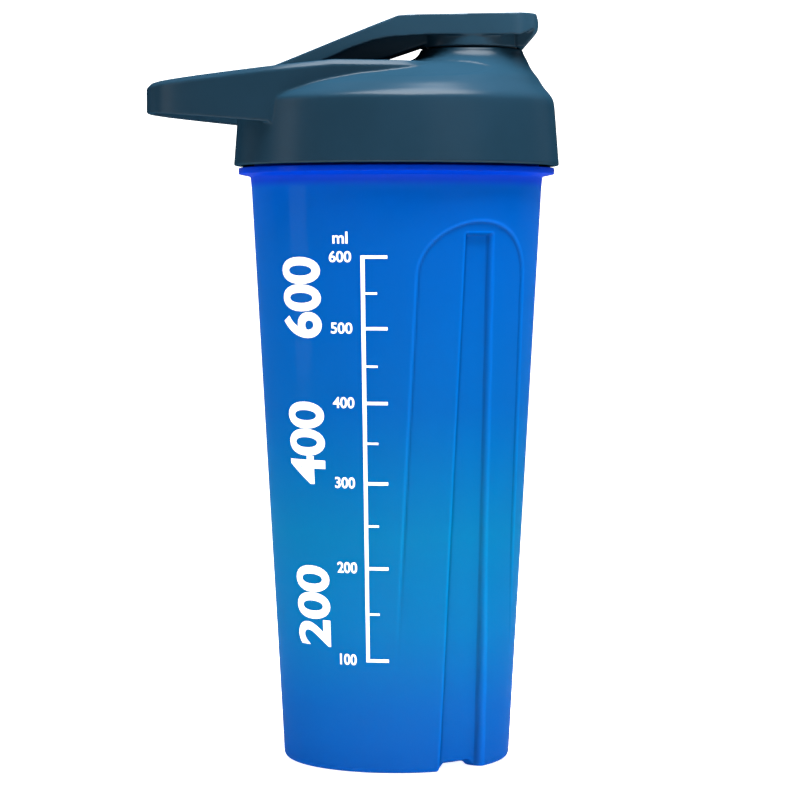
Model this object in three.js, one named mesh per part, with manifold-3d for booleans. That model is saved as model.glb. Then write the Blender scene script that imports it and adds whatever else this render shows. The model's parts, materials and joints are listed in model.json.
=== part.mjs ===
import * as THREE from 'three';
import { mergeVertices } from 'three/addons/utils/BufferGeometryUtils.js';
import Module from 'manifold-3d';

// Protein shaker bottle in millimetres, +Z up. The origin is on the bottle's axis, on the surface it
// stands on. +X points to the drinking spout and -X to the carry loop.

// ---------------------------------------------------------------- driving dimensions

const runningGap = 0.3; // space left between pieces that touch
const wallSegments = 48; // sides of the cup's and lid's round walls
const overrun = 1; // how far a cutter runs past the face that it opens
const sunk = 0.5; // how far a rib, ridge or lug is sunk into what it grows from

const cup = {
  baseRadius: 33.8,
  taper: 0.0559, // radius gained per millimetre of height
  wall: 1.8,
  floorTop: 3.6,
  cornerHeight: 1.6,
  cornerInset: 1.28,
  shoulder: 174.2,
  collarRoot: 171.2, // where the solid collar inside the wall starts
  flangeRadius: 47.2,
  flangeBottom: 174.8,
  flangeTop: 176.7,
  neckRadius: 42.6,
  neckBore: 41,
  rim: 192.8,
};

const foot = { padRadius: 13, ringInner: 27, recess: 1.2 };

const grip = {
  azimuth: -54.5, // degrees from +X; the second grip is opposite
  panelDepth: 0.8,
  panelTop: 160.7,
  archRise: 16,
  halfWidth: 19.8,
  halfWidthLow: 22.5,
  fadeFrom: 70,
  fadeTo: 28,
  fluteDepth: 2.4,
  fluteTop: 157.3,
  fluteHalfTop: 4.6,
  fluteHalfLow: 7.6,
  edge: 0.9, // width of the step at an edge
  plainColumns: 11, // columns of plain wall between the two grips
  notchHeight: 2.3,
  notchInner: 26.5, // distance from the axis at which a foot notch starts
  notchLength: 10,
};

const thread = {
  starts: 2,
  lead: 12,
  turns: 0.85,
  rootWidth: 2.4,
  crestWidth: 1.4,
  cupCrest: 44.6,
  cupStart: 180.2,
  lidCrest: 43.4,
  lidBelow: 2.5, // height of the lid's ridge below the cup's
  stepDegrees: 12,
  fadeSteps: 3, // steps over which a ridge rises to its full height
  tip: 0.15, // its height at the very end, in steps
};

const lid = {
  skirtBottom: 177.3,
  skirtRadius: 48.6,
  shoulderRadius: 47.25,
  shoulder: 194.6,
  bore: 45.6,
  seat: 195.2, // underside that the gasket presses on
  wall: 1.7,
  drop: 1.4, // how far the dome's inner surface lies below its outer one
  hollowRise: 2, // straight part of the dome's hollow above the seat
  hollowShift: 0.8, // how far that part leans towards the spout
  carrierInner: 37.2, // ring that the mixing grid clips on
  carrierOuter: 38.6,
  carrierBottom: 188,
};

const spout = { x: 22.4, rim: 212, radius: 15.3, lip: 0.5 };

// Circles that the dome passes through between shoulder and spout rim: height, centre x, radius.
const domeStations = [
  [196.2, 0.05, 46.95],
  [197.5, 0.6, 45.9],
  [198.9, 1.6, 43.9],
  [200.8, 3.2, 40.7],
  [203.4, 8, 34.3],
  [205.5, 14, 26.7],
  [207, 18.4, 21.4],
  [208.8, 21.6, 17.4],
  [210.4, 22.3, 15.8],
];

// Carry loop: its outer face seen from above, from the tip to where it dies into the dome.
const loopOutline = [
  [-74.6, 0],
  [-73.2, 9.5],
  [-68.5, 17],
  [-58, 23.8],
  [-45, 28.9],
  [-33, 31.8],
  [-18, 31.3],
  [-4.5, 28.9],
  [5, 25.4],
  [12.5, 18.4],
];
const loop = {
  wall: 2.2,
  flange: 6.5,
  flangeThickness: 2.2,
  chamfer: 1.2,
  rootX: -36,
  topAtRoot: 205.6,
  topSlope: 0.1016,
  topLevel: 207.4,
  bottomAtRoot: 189.3,
  bottomSlope: 0.0909,
  steps: 44,
};

const hinge = { x: -42.5, z: 201.45, radius: 2.9, pinRadius: 1.4, bore: 1.55, relief: 3.4 };
const knuckleHalf = 9.2;
const lug = { inner: 9.6, outer: 13.4, footFront: -38, footBack: -46 };

const cap = {
  topThickness: 2.2,
  sideThickness: 2,
  halfWidth: 15.6,
  thumbX: 42.6,
  crown: [0.4, 221.1], // where the arm's top meets the hood's
  hoodTop: [3, 221.35],
  ribTop: 220.6, // ribs, collar and wedge end inside the top wall
  wedgeX: 35.5,
  collarRadius: 15.5,
  collarBore: 13.9,
  collarBottom: spout.rim + runningGap,
  collarSegments: 40,
  ribInner: 6,
  ribOuter: 8,
  tabHalf: 9.5,
  cutHalf: 20, // half-width of the slabs that the plan outline trims
  planBottom: 180,
  planHeight: 60,
};

const plug = {
  depth: 3.4,
  tipRadius: 12.6,
  shoulderRadius: 13.2,
  bodyRadius: 13.6,
  bodyBottom: cap.collarBottom + 0.4,
  top: 217.6,
  wall: 1.7,
};

const gasket = { inner: 40.8, outer: 45.2 };

const grid = {
  outer: 40.3,
  inner: 38.9,
  top: 192,
  bottom: 184,
  floor: 1.7,
  bar: 1.5,
  spokes: 12,
  rings: [9, 17, 25, 33],
  ringSegments: 24,
};

// ---------------------------------------------------------------- materials

function plastic(colour, roughness, opacity = 1) {
  return new THREE.MeshStandardMaterial({
    color: colour,
    roughness,
    metalness: 0,
    opacity,
    transparent: opacity < 1,
  });
}

const cupPlastic = plastic(0x0a6fd0, 0.3, 0.8);
const lidPlastic = plastic(0x2f5268, 0.4);
const capPlastic = plastic(0x345a72, 0.42);
const silicone = plastic(0x2a3c48, 0.6);
const gridPlastic = plastic(0x3d6480, 0.45);

// ---------------------------------------------------------------- solids

const wasm = await Module();
wasm.setup();

// Turns a closed three.js geometry into a manifold solid whose faces point out.
function toSolid(geometry) {
  const bare = geometry.clone();
  bare.deleteAttribute('normal');
  bare.deleteAttribute('uv');
  const merged = mergeVertices(bare, 1e-4);
  const vertProperties = new Float32Array(merged.attributes.position.array);
  const triVerts = new Uint32Array(merged.index.array);
  const solid = new wasm.Manifold(new wasm.Mesh({ numProp: 3, vertProperties, triVerts }));
  if (solid.volume() > 0) {
    return solid;
  }
  const flipped = triVerts.slice().reverse();
  return new wasm.Manifold(new wasm.Mesh({ numProp: 3, vertProperties, triVerts: flipped }));
}

function toMesh(name, solid, material) {
  const { vertProperties, triVerts } = solid.getMesh();
  const geometry = new THREE.BufferGeometry();
  geometry.setAttribute('position', new THREE.BufferAttribute(vertProperties, 3));
  geometry.setIndex(new THREE.BufferAttribute(triVerts, 1));
  const flat = geometry.toNonIndexed();
  flat.computeVertexNormals();
  const mesh = new THREE.Mesh(flat, material);
  mesh.name = name;
  return mesh;
}

function join(...solids) {
  return solids.reduce((whole, next) => whole.add(next));
}

// Triangles that close a flat ring of points, facing the way the ring turns.
function ringFaces(ring) {
  const normal = new THREE.Vector3();
  ring.forEach((point, i) => {
    normal.add(point.clone().cross(ring[(i + 1) % ring.length]));
  });
  normal.normalize();
  const across = ring[1].clone().sub(ring[0]).normalize();
  const up = normal.clone().cross(across);
  const outline = ring.map((point) => new THREE.Vector2(point.dot(across), point.dot(up)));
  return THREE.ShapeUtils.triangulateShape(outline, []);
}

// A closed solid through rings of points that all have the same count.
function loft(rings) {
  const count = rings[0].length;
  const positions = rings.flat().flatMap((point) => point.toArray());
  const index = [];
  for (let level = 0; level + 1 < rings.length; level += 1) {
    for (let i = 0; i < count; i += 1) {
      const a = level * count + i;
      const b = level * count + ((i + 1) % count);
      index.push(a, b, b + count, a, b + count, a + count);
    }
  }
  const last = (rings.length - 1) * count;
  ringFaces(rings[0]).forEach(([a, b, c]) => index.push(c, b, a));
  ringFaces(rings.at(-1)).forEach(([a, b, c]) => index.push(last + a, last + b, last + c));
  const geometry = new THREE.BufferGeometry();
  geometry.setAttribute('position', new THREE.Float32BufferAttribute(positions, 3));
  geometry.setIndex(index);
  return toSolid(geometry);
}

// A body of revolution about +Z from its profile of [radius, height] points.
function turned(profile, segments = wallSegments, x = 0) {
  const points = profile.map(([radius, height]) => new THREE.Vector2(radius, height));
  const geometry = new THREE.LatheGeometry(points, segments);
  geometry.rotateX(Math.PI / 2);
  geometry.translate(x, 0, 0);
  return toSolid(geometry);
}

function ringWall(inner, outer, bottom, top, segments = wallSegments, x = 0) {
  const profile = [[inner, bottom], [outer, bottom], [outer, top], [inner, top], [inner, bottom]];
  return turned(profile, segments, x);
}

function disc(radius, bottom, top, segments = wallSegments, x = 0) {
  return turned([[0, bottom], [radius, bottom], [radius, top], [0, top]], segments, x);
}

// An outline in the XZ plane, extruded across the bottle from yMin to yMax.
function slab(shape, yMin, yMax, curveSegments = 8) {
  const options = { depth: yMax - yMin, bevelEnabled: false, curveSegments };
  const geometry = new THREE.ExtrudeGeometry(shape, options);
  geometry.rotateX(Math.PI / 2);
  geometry.translate(0, yMax, 0);
  return toSolid(geometry);
}

function outline(points) {
  return new THREE.Shape(points.map(([x, z]) => new THREE.Vector2(x, z)));
}

// A rod across the bottle, along Y.
function rod(radius, x, z, yMin, yMax, segments = 16) {
  const geometry = new THREE.CylinderGeometry(radius, radius, yMax - yMin, segments);
  geometry.translate(x, (yMin + yMax) / 2, z);
  return toSolid(geometry);
}

function circle(z, centreX, radius, segments = wallSegments) {
  return Array.from({ length: segments }, (_, i) => {
    const angle = (2 * Math.PI * i) / segments;
    return new THREE.Vector3(centreX + radius * Math.cos(angle), radius * Math.sin(angle), z);
  });
}

// ---------------------------------------------------------------- screw thread

// Ridges swept along a helix. They fade into the wall at both ends. The root is sunk into the wall.
function threadRidges(rootRadius, crestRadius, startZ) {
  const buried = rootRadius + Math.sign(rootRadius - crestRadius) * sunk;
  const steps = Math.round((thread.turns * 360) / thread.stepDegrees);
  const ridges = [];
  for (let start = 0; start < thread.starts; start += 1) {
    const rings = [];
    for (let i = 0; i <= steps; i += 1) {
      const angle = THREE.MathUtils.degToRad(i * thread.stepDegrees) + (2 * Math.PI * start) / thread.starts;
      const z = startZ + (thread.lead * i * thread.stepDegrees) / 360;
      const height = Math.min(1, (thread.tip + Math.min(i, steps - i)) / thread.fadeSteps);
      const crest = rootRadius + (crestRadius - rootRadius) * height;
      const section = [
        [buried, z - thread.rootWidth / 2],
        [crest, z - thread.crestWidth / 2],
        [crest, z + thread.crestWidth / 2],
        [buried, z + thread.rootWidth / 2],
      ];
      rings.push(section.map(([r, h]) => new THREE.Vector3(r * Math.cos(angle), r * Math.sin(angle), h)));
    }
    ridges.push(loft(rings));
  }
  return join(...ridges);
}

// ---------------------------------------------------------------- cup

// Half-width of a grip's shallow panel at a height, round the wall. It closes in an arch at the top.
function panelHalfWidth(z) {
  const springing = grip.panelTop - grip.archRise;
  if (z > springing) {
    const rise = Math.min(1, (z - springing) / grip.archRise);
    return Math.max(3 * grip.edge, grip.halfWidth * Math.sqrt(1 - rise * rise));
  }
  return THREE.MathUtils.mapLinear(z, 0, springing, grip.halfWidthLow, grip.halfWidth);
}

function panelDepth(z) {
  if (z >= grip.panelTop) {
    return 0;
  }
  return grip.panelDepth * THREE.MathUtils.smoothstep(z, grip.fadeTo, grip.fadeFrom);
}

function fluteHalfWidth(z) {
  const width = THREE.MathUtils.mapLinear(z, 0, grip.fluteTop, grip.fluteHalfLow, grip.fluteHalfTop);
  return Math.min(width, panelHalfWidth(z) - 2 * grip.edge);
}

// One ring of the cup's wall. Its columns follow the edges of both grips, so the steps stay sharp.
function wallRing(z, inset) {
  const radius = cup.baseRadius + cup.taper * z - inset;
  const panel = panelDepth(z);
  const flute = z <= grip.fluteTop ? grip.fluteDepth : panel;
  const columns = [
    [panelHalfWidth(z) + grip.edge, 0],
    [panelHalfWidth(z), panel],
    [fluteHalfWidth(z) + grip.edge, panel],
    [fluteHalfWidth(z), flute],
    [0, flute],
  ];
  const mirrored = columns.slice(0, -1).reverse().map(([width, depth]) => [-width, depth]);
  const sides = [...columns, ...mirrored];
  const ring = [];
  for (const centre of [grip.azimuth, grip.azimuth + 180]) {
    const middle = THREE.MathUtils.degToRad(centre);
    const edgeAngle = sides[0][0] / radius;
    for (const [width, depth] of sides) {
      ring.push([middle - width / radius, depth]);
    }
    const span = Math.PI - 2 * edgeAngle;
    for (let i = 1; i <= grip.plainColumns; i += 1) {
      ring.push([middle + edgeAngle + (span * i) / (grip.plainColumns + 1), 0]);
    }
  }
  return ring.map(([angle, depth]) => {
    const r = radius - depth;
    return new THREE.Vector3(r * Math.cos(angle), r * Math.sin(angle), z);
  });
}

// Heights of the wall's rings, in rising order: the marks where a grip's shape changes.
function wallHeights(bottom, top) {
  const springing = grip.panelTop - grip.archRise;
  const arch = [0, 0.4, 0.7, 0.88, 0.97, 1].map((part) => springing + grip.archRise * part);
  const ledge = [grip.fluteTop - 0.02, grip.fluteTop + 0.5];
  const fade = [grip.fadeTo, (grip.fadeTo + grip.fadeFrom) / 2, grip.fadeFrom];
  return [bottom, ...fade, ...arch, ...ledge, top].sort((a, b) => a - b);
}

function cupWall(inset, bottom, top, corner) {
  const rings = wallHeights(bottom + corner, top).map((z) => wallRing(z, inset));
  if (corner > 0) {
    const lower = [0, 0.35].map((part) => {
      const away = cup.cornerInset * (1 - Math.sqrt(1 - (1 - part) ** 2));
      return wallRing(bottom + corner * part, inset + away);
    });
    rings.unshift(...lower);
  }
  return loft(rings);
}

// A notch in the foot's outer edge, under a grip's flute. It narrows upwards.
function footNotch(azimuth) {
  const low = grip.fluteHalfLow;
  const high = low - grip.notchHeight;
  const shape = outline([
    [-low, -overrun],
    [low, -overrun],
    [low, 0],
    [high, grip.notchHeight],
    [-high, grip.notchHeight],
    [-low, 0],
  ]);
  const geometry = new THREE.ExtrudeGeometry(shape, { depth: grip.notchLength, bevelEnabled: false });
  geometry.rotateX(Math.PI / 2);
  geometry.translate(0, -grip.notchInner, 0);
  geometry.rotateZ(THREE.MathUtils.degToRad(azimuth + 90));
  return toSolid(geometry);
}

function makeCup() {
  const shell = cupWall(0, 0, cup.shoulder, cup.cornerHeight);
  const collar = turned([
    [0, cup.collarRoot],
    [cup.neckRadius - overrun, cup.collarRoot],
    [cup.baseRadius + cup.taper * cup.shoulder, cup.shoulder],
    [cup.flangeRadius, cup.flangeBottom],
    [cup.flangeRadius, cup.flangeTop],
    [cup.neckRadius, cup.flangeTop],
    [cup.neckRadius, cup.rim],
    [0, cup.rim],
  ]);
  const ridges = threadRidges(cup.neckRadius, thread.cupCrest, thread.cupStart);
  const hollow = cupWall(cup.wall, cup.floorTop, cup.shoulder - 2, 0);
  const bore = disc(cup.neckBore, cup.collarRoot - overrun, cup.rim + overrun);
  const recess = ringWall(foot.padRadius, foot.ringInner, -overrun, foot.recess);
  return join(shell, collar, ridges)
    .subtract(hollow)
    .subtract(bore)
    .subtract(recess)
    .subtract(footNotch(grip.azimuth))
    .subtract(footNotch(grip.azimuth + 180));
}

// ---------------------------------------------------------------- lid

function domeRings(inset, drop, stations) {
  return stations.map(([z, x, radius]) => circle(z - drop, x, radius - inset));
}

function lidBody() {
  return loft([
    circle(lid.skirtBottom, 0, lid.skirtRadius),
    circle(lid.shoulder, 0, lid.shoulderRadius),
    ...domeRings(0, 0, domeStations),
    circle(spout.rim - spout.lip, spout.x, spout.radius),
    circle(spout.rim, spout.x, spout.radius - spout.lip),
  ]);
}

function lidHollow() {
  const upper = domeStations.filter(([, , radius]) => radius < lid.carrierInner);
  const dome = loft([
    circle(lid.seat - overrun, 0, lid.carrierInner),
    circle(lid.seat + lid.hollowRise, lid.hollowShift, lid.carrierInner),
    ...domeRings(lid.wall, lid.drop, upper),
    circle(spout.rim - lid.drop, spout.x, spout.radius - lid.wall),
    circle(spout.rim + overrun, spout.x, spout.radius - lid.wall),
  ]);
  return dome.add(disc(lid.bore, lid.skirtBottom - overrun, lid.seat));
}

function loopTop(x) {
  return Math.min(loop.topLevel, loop.topAtRoot + loop.topSlope * (x - loop.rootX));
}

function loopBottom(x) {
  return loop.bottomAtRoot + loop.bottomSlope * Math.max(0, loop.rootX - x);
}

// The loop is a wall with a flange turned in along its top, swept round the outline.
function carryLoop() {
  const half = loopOutline.map(([x, y]) => new THREE.Vector3(x, y, 0));
  const mirrored = half.slice(1).reverse().map((point) => new THREE.Vector3(point.x, -point.y, 0));
  const path = new THREE.CatmullRomCurve3([...mirrored, ...half], false, 'centripetal');
  const rings = [];
  for (let i = 0; i <= loop.steps; i += 1) {
    const at = path.getPointAt(i / loop.steps);
    const along = path.getTangentAt(i / loop.steps);
    const inward = new THREE.Vector3(along.y, -along.x, 0);
    const top = loopTop(at.x);
    const bottom = loopBottom(at.x);
    const section = [
      [0, bottom],
      [0, top - loop.chamfer],
      [loop.chamfer, top],
      [loop.flange, top],
      [loop.flange, top - loop.flangeThickness],
      [loop.wall, top - loop.flangeThickness],
      [loop.wall, bottom],
    ];
    rings.push(section.map(([depth, z]) => at.clone().addScaledVector(inward, depth).setZ(z)));
  }
  return loft(rings);
}

function hingeLugs() {
  const foot = lid.seat + sunk;
  const shape = outline([[lug.footBack, foot], [lug.footFront, foot]]);
  shape.lineTo(hinge.x + hinge.radius, hinge.z);
  shape.absarc(hinge.x, hinge.z, hinge.radius, 0, Math.PI, false);
  return slab(shape, lug.inner, lug.outer).add(slab(shape, -lug.outer, -lug.inner));
}

function makeLid() {
  const outside = join(lidBody(), carryLoop(), hingeLugs());
  const carrier = ringWall(lid.carrierInner, lid.carrierOuter, lid.carrierBottom, lid.seat + sunk);
  const ridges = threadRidges(lid.bore, thread.lidCrest, thread.cupStart - thread.lidBelow);
  return outside
    .subtract(lidHollow())
    .add(carrier)
    .add(ridges.subtract(disc(lid.bore + overrun, 0, lid.skirtBottom)))
    .subtract(rod(hinge.relief, hinge.x, hinge.z, -lug.inner, lug.inner, 24))
    .subtract(rod(hinge.bore, hinge.x, hinge.z, -lug.outer - overrun, lug.outer + overrun));
}

// ---------------------------------------------------------------- flip cap

// Side view of the arm and hood: top edge, thumb end, then the hood's lower edge back to the hinge.
const hoodSide = [
  [hinge.x, 204.45],
  cap.crown,
  cap.hoodTop,
  [41.4, 222.1],
  [42.4, 219.9],
  [42.3, 218.6],
  [36.5, 215.6],
  [8, 215.4],
  [-1.1, 214.8],
  [-6.4, 213.9],
  [-13.2, 211.7],
  [-20.3, 208.6],
  [-31, 204.6],
  [hinge.x, 200],
];

function capPlan(inset) {
  const half = cap.halfWidth - inset;
  const neck = knuckleHalf - inset;
  const front = cap.thumbX - inset;
  const shape = new THREE.Shape();
  shape.moveTo(hinge.x - 4, -neck);
  shape.lineTo(-37, -neck);
  shape.bezierCurveTo(-27, -neck - 0.5, -14, -half, -2, -half);
  shape.lineTo(33, -half);
  shape.bezierCurveTo(38, -half, front - 0.5, -half + 3, front, 0);
  shape.bezierCurveTo(front - 0.5, half - 3, 38, half, 33, half);
  shape.lineTo(-2, half);
  shape.bezierCurveTo(-14, half, -27, neck + 0.5, -37, neck);
  shape.lineTo(hinge.x - 4, neck);
  return shape;
}

function planPrism(inset) {
  const options = { depth: cap.planHeight, bevelEnabled: false, curveSegments: 7 };
  const geometry = new THREE.ExtrudeGeometry(capPlan(inset), options);
  geometry.translate(0, 0, cap.planBottom);
  return toSolid(geometry);
}

// The space under the hood's top wall, between its sides.
function hoodHollow() {
  const armThickness = 1.1 * cap.topThickness; // measured upright, the sloping arm is thicker
  const past = cap.thumbX + cap.cutHalf;
  const shape = outline([
    [-34, 207.6 - armThickness],
    [cap.crown[0], cap.crown[1] - armThickness],
    [cap.hoodTop[0], cap.hoodTop[1] - cap.topThickness],
    [past, 222.4 - cap.topThickness],
    [past, 200],
    [-34, 190],
  ]);
  return slab(shape, -cap.cutHalf, cap.cutHalf).intersect(planPrism(cap.sideThickness));
}

// Two ribs that stiffen the arm from the hinge to the collar.
function armRibs() {
  const shape = outline([
    [hinge.x, 204],
    [hinge.x, 200.2],
    [-38, 202],
    [-2.8, 209.3],
    [8.5, 213.1],
    [8.5, cap.ribTop],
    [cap.crown[0], cap.ribTop],
  ]);
  return slab(shape, cap.ribInner, cap.ribOuter).add(slab(shape, -cap.ribOuter, -cap.ribInner));
}

// The solid wedge under the thumb end, which runs down to the collar.
function thumbWedge() {
  const shape = outline([
    [cap.wedgeX, cap.collarBottom],
    [37.8, cap.collarBottom],
    [41.9, 217],
    [42.3, 218.8],
    [41, 221.5],
    [cap.wedgeX, 221.5],
  ]);
  const wedge = slab(shape, -cap.tabHalf, cap.tabHalf).intersect(planPrism(0));
  const inCollar = disc(cap.collarRadius - sunk, cap.planBottom, 219, cap.collarSegments, spout.x);
  return wedge.subtract(inCollar);
}

function makeCap() {
  const solidHood = slab(outline(hoodSide), -cap.cutHalf, cap.cutHalf).intersect(planPrism(0));
  const hood = solidHood.subtract(hoodHollow());
  const { collarBore, collarRadius, collarBottom, ribTop, collarSegments } = cap;
  const collar = ringWall(collarBore, collarRadius, collarBottom, ribTop, collarSegments, spout.x);
  const knuckle = rod(hinge.radius, hinge.x, hinge.z, -knuckleHalf, knuckleHalf, 24);
  const pinBore = rod(hinge.bore, hinge.x, hinge.z, -cap.cutHalf, cap.cutHalf);
  return join(hood, collar, armRibs(), thumbWedge(), knuckle).subtract(pinBore);
}

// ---------------------------------------------------------------- small pieces

function makePlug() {
  const bottom = spout.rim - plug.depth;
  return turned([
    [0, bottom],
    [plug.tipRadius, bottom],
    [plug.shoulderRadius, spout.rim],
    [plug.bodyRadius, plug.bodyBottom],
    [plug.bodyRadius, plug.top],
    [plug.bodyRadius - plug.wall, plug.top],
    [plug.tipRadius - plug.wall, bottom + plug.wall],
    [0, bottom + plug.wall],
  ], cap.collarSegments, spout.x);
}

function makeGrid() {
  const floorTop = grid.bottom + grid.floor;
  const half = grid.bar / 2;
  const bars = grid.rings.map((r) => ringWall(r - half, r + half, grid.bottom, floorTop, grid.ringSegments));
  for (let i = 0; i < grid.spokes; i += 1) {
    const inner = i % 2 === 0 ? grid.rings[0] : grid.rings[1];
    const length = (grid.inner + grid.outer) / 2 - inner;
    const spoke = new THREE.BoxGeometry(length, grid.bar, grid.floor);
    spoke.translate(inner + length / 2, 0, grid.bottom + grid.floor / 2);
    spoke.rotateZ((2 * Math.PI * i) / grid.spokes);
    bars.push(toSolid(spoke));
  }
  return join(ringWall(grid.inner, grid.outer, grid.bottom, grid.top), ...bars);
}

// ---------------------------------------------------------------- assembly

const shaker = new THREE.Group();
const gasketSolid = ringWall(gasket.inner, gasket.outer, cup.rim + runningGap, lid.seat - runningGap);
const pinSolid = rod(hinge.pinRadius, hinge.x, hinge.z, -lug.outer, lug.outer);
shaker.add(
  toMesh('bottle_cup', makeCup(), cupPlastic),
  toMesh('lid_gasket', gasketSolid, silicone),
  toMesh('lid_shell', makeLid(), lidPlastic),
  toMesh('mixing_grid', makeGrid(), gridPlastic),
  toMesh('hinge_pin', pinSolid, lidPlastic),
  toMesh('flip_cap', makeCap(), capPlastic),
  toMesh('spout_plug', makePlug(), silicone),
);

export default shaker;
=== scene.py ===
"""Protein shaker bottle: the looks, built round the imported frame. Metres, +Z up, +X to the spout."""

import json
import math

import bmesh
import bpy
import numpy as np
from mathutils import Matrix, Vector


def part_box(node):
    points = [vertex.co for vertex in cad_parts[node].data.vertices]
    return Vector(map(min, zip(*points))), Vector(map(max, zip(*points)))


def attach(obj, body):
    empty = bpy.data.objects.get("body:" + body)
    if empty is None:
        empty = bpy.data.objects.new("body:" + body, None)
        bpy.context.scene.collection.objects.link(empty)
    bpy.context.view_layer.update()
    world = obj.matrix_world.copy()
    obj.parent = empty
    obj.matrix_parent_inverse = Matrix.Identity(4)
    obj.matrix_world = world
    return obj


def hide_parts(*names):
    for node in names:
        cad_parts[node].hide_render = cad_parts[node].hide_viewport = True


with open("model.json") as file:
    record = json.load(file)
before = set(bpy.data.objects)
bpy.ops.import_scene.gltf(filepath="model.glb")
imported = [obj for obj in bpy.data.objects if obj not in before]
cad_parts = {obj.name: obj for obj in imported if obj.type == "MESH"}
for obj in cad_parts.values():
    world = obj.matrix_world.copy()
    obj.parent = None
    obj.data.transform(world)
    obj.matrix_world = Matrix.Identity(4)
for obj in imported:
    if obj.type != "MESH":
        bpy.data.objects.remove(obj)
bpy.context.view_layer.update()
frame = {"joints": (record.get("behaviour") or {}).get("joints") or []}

MM = 0.001
TAU = 2 * math.pi

# ------------------------------------------------------------ sizes, in millimetres, from the frame


def box_mm(node):
    """Lowest and highest corner of a CAD node, in millimetres."""
    low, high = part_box(node)
    return low / MM, high / MM


def joint(name):
    """A joint of the frame, by its name."""
    return next(j for j in frame["joints"] if j["name"] == name)


_, CUP_HIGH = box_mm("bottle_cup")
LID_LOW, LID_HIGH = box_mm("lid_shell")
_, CAP_HIGH = box_mm("flip_cap")
PLUG_LOW, PLUG_HIGH = box_mm("spout_plug")
GRID_LOW, GRID_HIGH = box_mm("mixing_grid")
GASKET_LOW, GASKET_HIGH = box_mm("lid_gasket")
PIN_LOW, PIN_HIGH = box_mm("hinge_pin")
HINGE_X, _, HINGE_Z = (value / MM for value in joint("cap_flip")["pos_m"])

BASE_RADIUS = 33.8
TAPER = 0.0559  # outer radius gained per millimetre of height
WALL = 1.8
FLOOR_TOP = 3.6
CORNER = 1.6
SHOULDER = 174.2
FLANGE_BOTTOM = 174.8
FLANGE_TOP = 176.7
FLANGE_RADIUS = CUP_HIGH.x
RIM = CUP_HIGH.z
NECK_RADIUS = 42.6
NECK_BORE = 41.0

GRIP_ANGLE = math.radians(-54.5)
PANEL_DEPTH = 0.8
PANEL_TOP = 160.7
ARCH_RISE = 16.0
PANEL_HALF = 19.8
PANEL_HALF_LOW = 22.5
FLUTE_DEPTH = 2.4
FLUTE_TOP = 157.3
FLUTE_HALF = 4.6
FLUTE_HALF_LOW = 7.6
NOTCH = 2.3  # height of the foot's notch under each flute

THREAD_LEAD = 12.0
THREAD_STARTS = 2
THREAD_TURNS = 0.85
CUP_THREAD_Z = 180.2
LID_THREAD_Z = CUP_THREAD_Z - 2.5
CUP_THREAD_DEPTH = 2.0
LID_THREAD_DEPTH = 2.2

SPOUT_X = (PLUG_LOW.x + PLUG_HIGH.x) / 2
SPOUT_RADIUS = 15.3
SPOUT_RIM = LID_HIGH.z
SKIRT_BOTTOM = LID_LOW.z
SKIRT_RADIUS = LID_HIGH.x
SEAT = 195.2  # height of the lid's face that the gasket seals against
LID_BORE = 45.6


# ------------------------------------------------------------ helpers


def smoothstep(low, high, value):
    """0 below low, 1 above high, and a smooth rise between them."""
    part = np.clip((value - low) / (high - low), 0, 1)
    return part * part * (3 - 2 * part)


def add_mesh(name, vertices, faces, scale=MM):
    """A new object from vertices in millimetres and faces."""
    mesh = bpy.data.meshes.new(name)
    mesh.from_pydata((np.asarray(vertices, float) * scale).tolist(), [], [list(f) for f in faces])
    mesh.validate()
    mesh.update()
    thing = bpy.data.objects.new(name, mesh)
    bpy.context.scene.collection.objects.link(thing)
    return thing


def face_out(thing):
    """Turns every face of a closed mesh outwards."""
    work = bmesh.new()
    work.from_mesh(thing.data)
    bmesh.ops.recalc_face_normals(work, faces=work.faces)
    work.to_mesh(thing.data)
    work.free()


def shade_smooth(thing, angle=None):
    """Smooth shading, with edges above the angle (in degrees) kept sharp."""
    thing.data.polygons.foreach_set("use_smooth", [True] * len(thing.data.polygons))
    if angle is not None:
        thing.data.set_sharp_from_angle(angle=math.radians(angle))
    thing.data.update()


def ring_surface(name, rings, closed=False):
    """A skin over rings of points with the same count. Closed joins the last ring to the first."""
    rings = np.asarray(rings, float)
    levels, count, _ = rings.shape
    vertices = rings.reshape(-1, 3)
    columns = np.arange(count)
    following = (columns + 1) % count
    faces = []
    for level in range(levels if closed else levels - 1):
        this = level * count
        above = ((level + 1) % levels) * count
        quads = np.stack([this + columns, this + following, above + following, above + columns], 1)
        faces.extend(quads.tolist())
    if not closed:
        vertices = np.vstack([vertices, rings[0].mean(0), rings[-1].mean(0)])
        first, last = len(vertices) - 2, len(vertices) - 1
        top = (levels - 1) * count
        faces.extend([[first, b, a] for a, b in zip(columns, following)])
        faces.extend([[last, top + a, top + b] for a, b in zip(columns, following)])
    thing = add_mesh(name, vertices, faces)
    face_out(thing)
    return thing


def circles(profile, segments, x=0.0):
    """Rings from a profile of [radius, height] or [radius, height, centre x] points."""
    angle = np.linspace(0, TAU, segments, endpoint=False)
    rings = []
    for point in profile:
        radius, height = point[0], point[1]
        centre = point[2] if len(point) > 2 else x
        rings.append(np.stack([centre + radius * np.cos(angle), radius * np.sin(angle),
                               np.full(segments, height)], 1))
    return rings


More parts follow.
